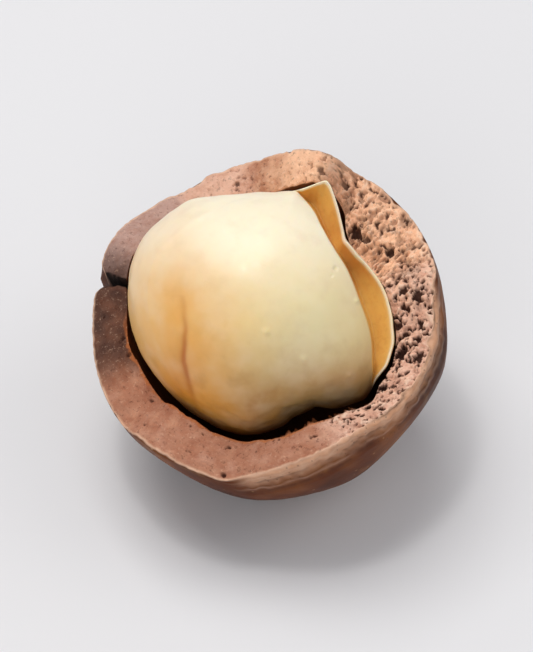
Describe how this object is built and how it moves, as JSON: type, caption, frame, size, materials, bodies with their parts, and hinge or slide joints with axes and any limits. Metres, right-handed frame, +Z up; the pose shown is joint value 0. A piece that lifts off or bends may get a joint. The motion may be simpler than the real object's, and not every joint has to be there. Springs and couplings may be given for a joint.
{
  "type": "macadamia nut in shell",
  "caption": "Round macadamia nut in its broken-open woody shell: a thick bowl of shell with a rough rim holds a loose cream kernel with a folded side.",
  "frame": {"origin": "middle of the small flat spot that the shell rests on", "axes": "+Z up; the front faces -Y; the open side faces up, leaning 16 degrees to -X and 13 degrees to -Y"},
  "size_m": [0.025, 0.0249, 0.0212],
  "materials": {
    "shell": "satin brown skin outside, dull rough pinkish-brown broken rim",
    "kernel": "waxy cream nut flesh with a soft sheen"
  },
  "bodies": {
    "root": {"shell": "shell", "kernel": "kernel"}
  },
  "joints": []
}
